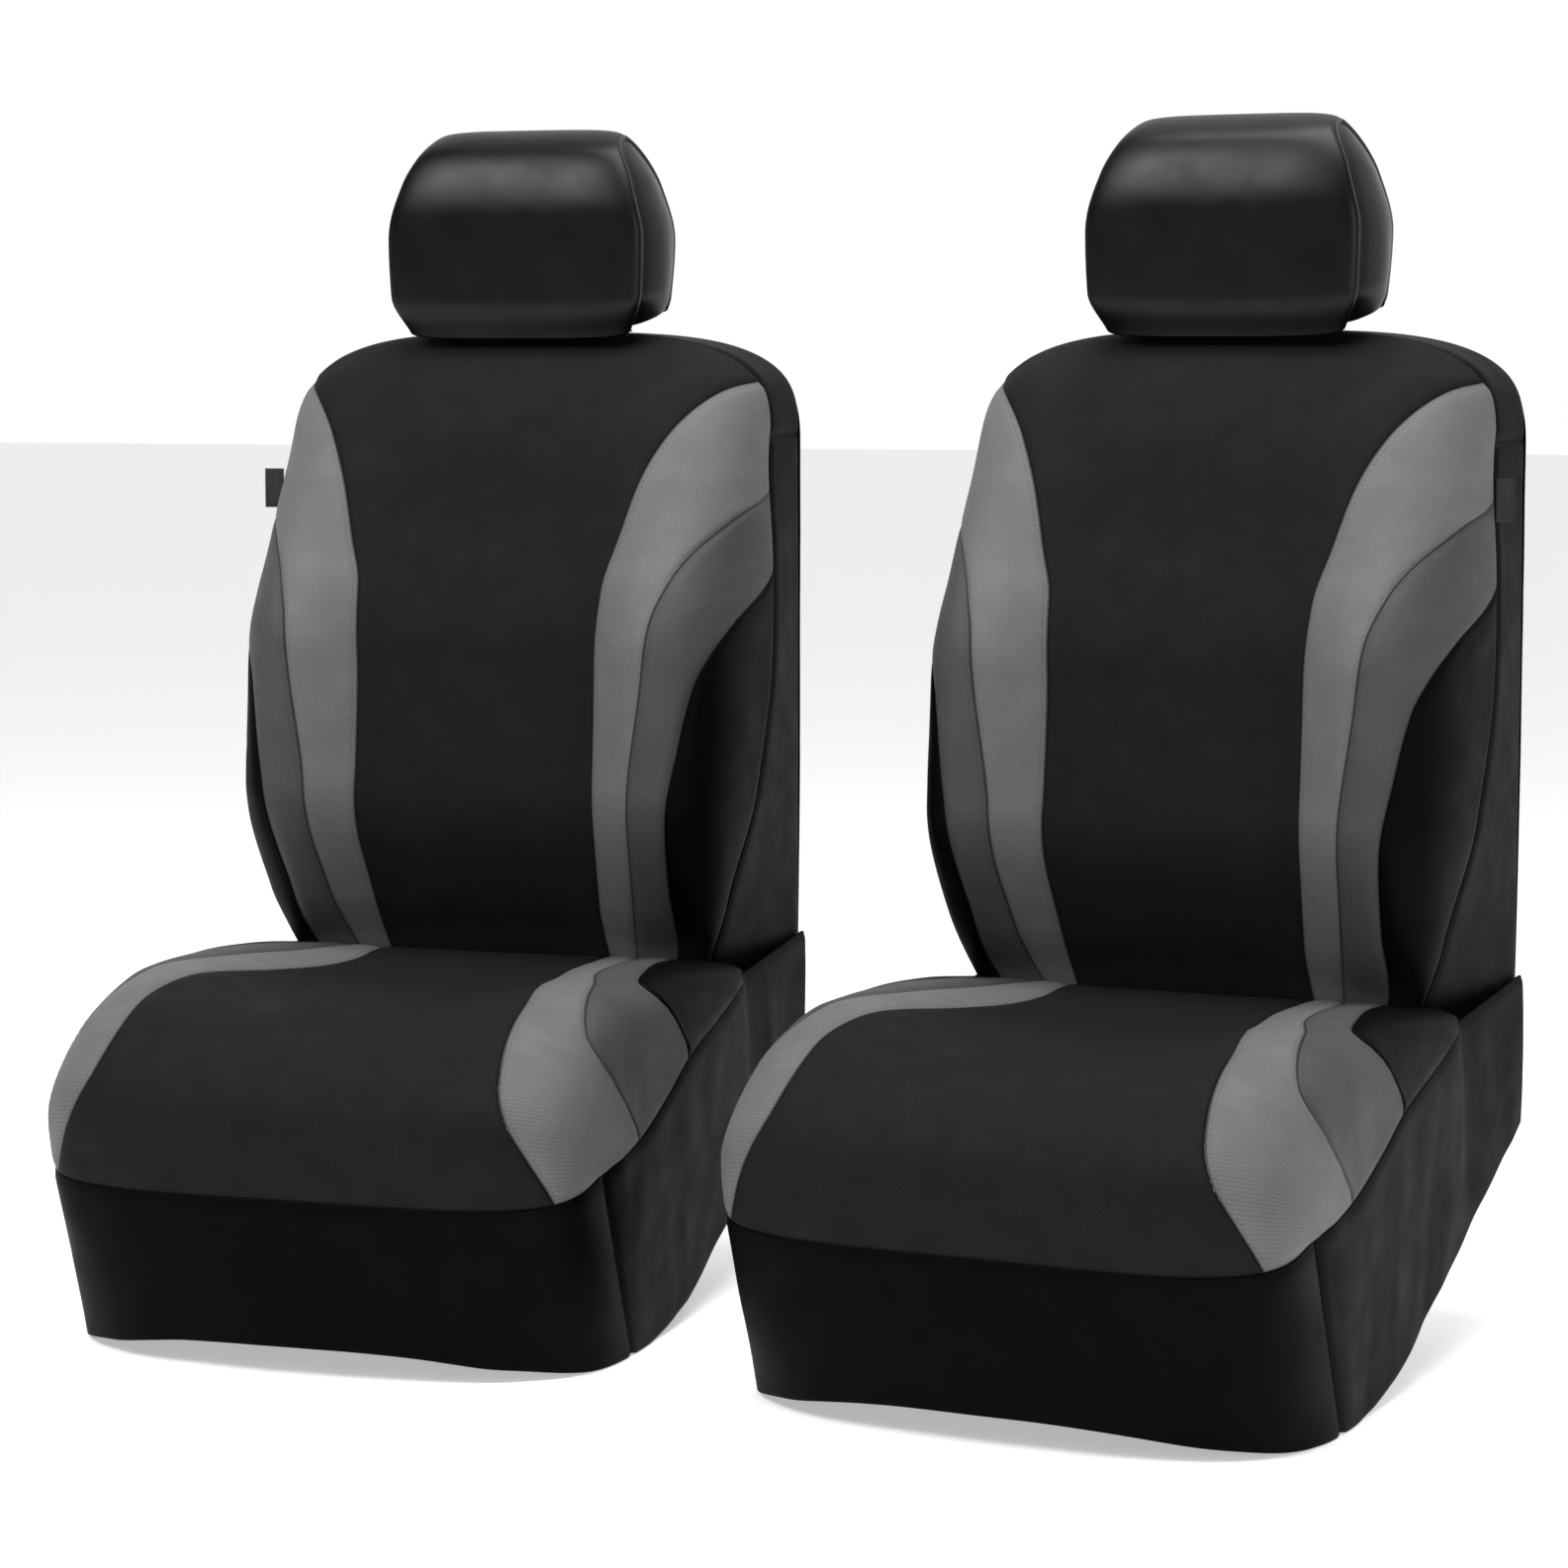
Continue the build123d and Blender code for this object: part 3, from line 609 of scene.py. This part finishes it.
def headrest_cover(seat):
    for node_name, low, high, sewn in (
            ("headrest_front_panel", 0, HEAD_FRONT_END, ("left", "right", "high")),
            ("headrest_back_panel", HEAD_FRONT_END, 1, ("left", "right", "low"))):
        p = grid(head_point, LEFT_SEAM, SIDE_SEAM, low, high, 61, 51)
        panel(seat, "headrest", node_name, SATIN, p, head_core, sewn, 0.0008, depth=HEAD_DIP_DEPTH)
    for side, word in ((-1, "left"), (1, "right")):
        p = grid(head_side_point(side), MIDDLE, SIDE_SEAM, 0, 1, 25, 51)
        panel(seat, "headrest", "headrest_side_" + word, SATIN, p, head_core, ("left", "right"), 0.0008,
              depth=HEAD_DIP_DEPTH)


def ribbon(seat, node_name, material, places, route, half_width, thickness):
    """Flat strips that follow a route of (y, z) points, one at each x in places."""
    points = np.array(route, float)
    run = lengths(stack(points[:, 0], points[:, 1], 0), 0)
    spots = np.linspace(0, run[-1], RIBBON_ROWS)
    y = smooth(spots, list(zip(run, points[:, 0])))
    z = smooth(spots, list(zip(run, points[:, 1])))
    mesh = bpy.data.meshes.new(seat + "_" + node_name + "_cloth")
    vertices, faces, flat = [], [], []
    for x in places:
        first = len(vertices)
        for j in range(RIBBON_ROWS):
            for share in np.linspace(-1, 1, RIBBON_COLUMNS):
                vertices.append((x + share * half_width, y[j], z[j]))
                flat.append((share * half_width, spots[j]))
        for j in range(RIBBON_ROWS - 1):
            for i in range(RIBBON_COLUMNS - 1):
                a = first + j * RIBBON_COLUMNS + i
                faces.append((a, a + 1, a + 1 + RIBBON_COLUMNS, a + RIBBON_COLUMNS))
    mesh.from_pydata(vertices, [], faces)
    layer = mesh.uv_layers.new(name="cloth")
    corners = np.zeros(len(mesh.loops), int)
    mesh.loops.foreach_get("vertex_index", corners)
    layer.data.foreach_set("uv", np.array(flat)[corners].ravel())
    away = half_width - np.abs(np.array(flat)[:, 0])
    for name, values in (("seam", away + CLEAR_OF_SEAM), ("run", np.array(flat)[:, 1])):
        mesh.attributes.new(name, "FLOAT", "POINT").data.foreach_set("value", values)
    obj = bpy.data.objects.new(mesh.name, mesh)
    finish_piece(obj, seat, "base", material, node_name)
    thicken(obj, thickness, 0)


def side_label(seat):
    """A folded label at the outer side of the back, sewn in at one edge and curling a little."""
    side = SEATS[seat]
    share, place, angle = TAGS[seat]
    seam = back_point(np.array(side * share), np.array(place))
    out = np.linspace(0, TAG_WIDTH, 13)[None, :]
    up = np.linspace(-TAG_HEIGHT / 2, TAG_HEIGHT / 2, 17)[:, None]
    curl = TAG_CURL * np.sin(math.pi * out / TAG_WIDTH) + TAG_BOW * up ** 2 / TAG_HEIGHT
    x = seam[0] + side * (out * math.cos(angle) - curl * math.sin(angle))
    y = seam[1] + out * math.sin(angle) + curl * math.cos(angle)
    p = stack(x, y, TAG_Z + up)
    far, run = seam_fields(p, ALL_ROUND)
    mesh = mesh_of(seat + "_back_side_label_cloth", p, side < 0)
    give_values(mesh, p, far * 0.5 + CLEAR_OF_SEAM, run)
    obj = bpy.data.objects.new(mesh.name, mesh)
    finish_piece(obj, seat, "back", LABEL, "back_side_label")
    thicken(obj, TAG_THICKNESS, 0)


def hard_pieces(seat):
    for name, material in (("back_post_eyelets", PLASTIC), ("base_strap_hooks", STEEL)):
        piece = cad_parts[seat + "_" + name]
        piece.data.materials.clear()
        piece.data.materials.append(material)


# ---- studio ----
ROOM_LIGHT = 0.15       # from in front
BACKDROP_LIGHT = 1.0    # from behind the seats
FLOOR_SIZE = 60
FLOOR_GLOW = 0.42


def area_light(name, place, aim, size, power):
    data = bpy.data.lights.new(name, "AREA")
    data.shape = "SQUARE"
    data.size = size
    data.energy = power
    light = bpy.data.objects.new(name, data)
    bpy.context.scene.collection.objects.link(light)
    light.location = place
    light.rotation_euler = (Vector(aim) - Vector(place)).to_track_quat("-Z", "Y").to_euler()


def studio():
    bpy.ops.mesh.primitive_plane_add(size=FLOOR_SIZE, location=(0, 10, -0.001))
    floor = bpy.context.object
    floor.name = "floor"
    pale = bpy.data.materials.new("pale_floor")
    pale.use_nodes = True
    surface = pale.node_tree.nodes["Principled BSDF"]
    surface.inputs["Base Color"].default_value = (0.85, 0.85, 0.85, 1)
    surface.inputs["Roughness"].default_value = 0.9
    surface.inputs["Emission Color"].default_value = (1, 1, 1, 1)
    surface.inputs["Emission Strength"].default_value = FLOOR_GLOW
    floor.data.materials.append(pale)
    world = bpy.data.worlds.new("studio")
    world.use_nodes = True
    tree = world.node_tree
    tree.nodes["Background"].inputs[0].default_value = (1, 1, 1, 1)
    direction = node(tree, "ShaderNodeTexCoord").outputs["Generated"]
    split = node(tree, "ShaderNodeSeparateXYZ")
    tree.links.new(direction, split.inputs[0])
    tree.links.new(spread(tree, split.outputs[1], -0.1, 0.5, ROOM_LIGHT, BACKDROP_LIGHT),
                   tree.nodes["Background"].inputs[1])
    bpy.context.scene.world = world
    bpy.context.scene.view_settings.view_transform = "Standard"
    area_light("key", (-1.6, -2.6, 3.4), (0, 0, 0.6), 1.6, 120)
    area_light("top", (0.4, -0.2, 3.4), (0, 0.2, 0.5), 2.0, 110)
    area_light("fill", (3.4, -2.4, 1.4), (0, 0, 0.5), 2.0, 45)


CAMERA_PLACE = (1.5353, -3.6407, 0.8911)
CAMERA_TILT = math.radians(90 - 5.524)
CAMERA_TURN = math.radians(22.72)
SENSOR_WIDTH = 36
LENS = 99.05


def camera():
    data = bpy.data.cameras.new("camera")
    data.sensor_width = SENSOR_WIDTH
    data.lens = LENS
    eye = bpy.data.objects.new("camera", data)
    eye.location = CAMERA_PLACE
    eye.rotation_euler = (CAMERA_TILT, 0, CAMERA_TURN)
    bpy.context.scene.collection.objects.link(eye)
    bpy.context.scene.camera = eye


for seat_name in SEATS:
    back_cover(seat_name)
    base_cover(seat_name)
    headrest_cover(seat_name)
    side_label(seat_name)
    hard_pieces(seat_name)
studio()
camera()
